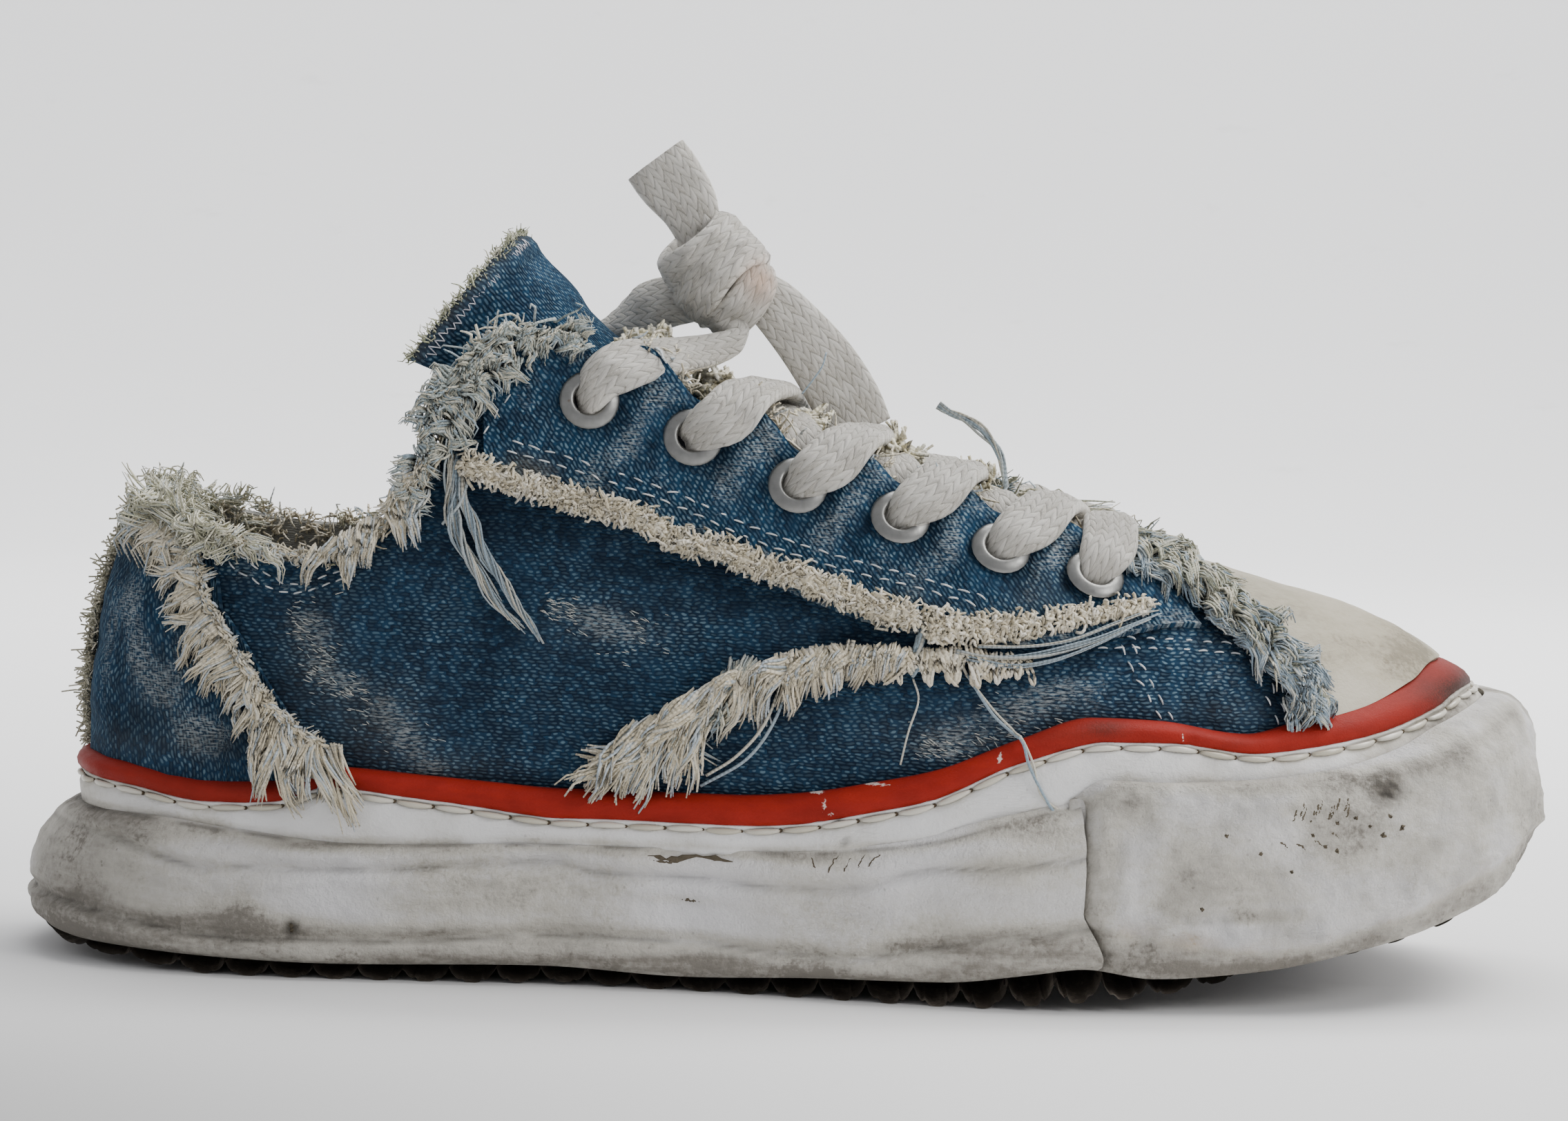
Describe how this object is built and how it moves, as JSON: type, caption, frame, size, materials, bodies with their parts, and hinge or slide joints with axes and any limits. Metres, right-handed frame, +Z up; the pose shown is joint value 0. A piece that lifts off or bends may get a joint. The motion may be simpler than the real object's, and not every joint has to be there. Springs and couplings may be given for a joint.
{
  "type": "worn out sneaker",
  "caption": "Low lace-up denim sneaker for the right foot, worn out: hollow upper, frayed edges, thick rubber sole with a toe bumper, flat lace tied in a knot.",
  "frame": {"origin": "middle of the sole's outline, at the floor under the lugs", "axes": "+X from heel to toe, +Y towards the other foot (inner side), +Z up"},
  "size_m": [0.303, 0.1132, 0.1636],
  "materials": {
    "outsole": "dark brown rubber, dusty",
    "midsole": "scuffed white rubber",
    "toe_bumper": "scuffed white rubber",
    "welt": "white rubber with a stitched groove",
    "foxing_stripe": "glossy red rubber",
    "insole": "worn lining cloth",
    "upper": "worn denim",
    "toe_cap": "ivory rubber, smudged",
    "heel_counter": "worn denim",
    "eyestay": "worn denim",
    "tongue": "worn denim with a beige lining",
    "eyelets": "matt silver",
    "lace": "knitted flat lace, off-white"
  },
  "bodies": {
    "root": {"outsole": "outsole", "midsole": "midsole", "toe_bumper": "toe_bumper", "welt": "welt", "foxing_stripe": "foxing_stripe", "insole": "insole", "upper": "upper", "toe_cap": "toe_cap", "heel_counter": "heel_counter", "eyestay_outer": "eyestay", "eyestay_inner": "eyestay", "tongue": "tongue", "eyelet_outer_1": "eyelets", "eyelet_outer_2": "eyelets", "eyelet_outer_3": "eyelets", "eyelet_outer_4": "eyelets", "eyelet_outer_5": "eyelets", "eyelet_outer_6": "eyelets", "eyelet_inner_1": "eyelets", "eyelet_inner_2": "eyelets", "eyelet_inner_3": "eyelets", "eyelet_inner_4": "eyelets", "eyelet_inner_5": "eyelets", "eyelet_inner_6": "eyelets", "lace_crossing_2": "lace", "lace_crossing_3": "lace", "lace_crossing_4": "lace", "lace_crossing_5": "lace", "lace_bar_6": "lace", "lace_top_outer": "lace", "lace_top_inner": "lace", "lace_tail": "lace", "lace_end": "lace", "lace_knot": "lace"}
  },
  "joints": []
}
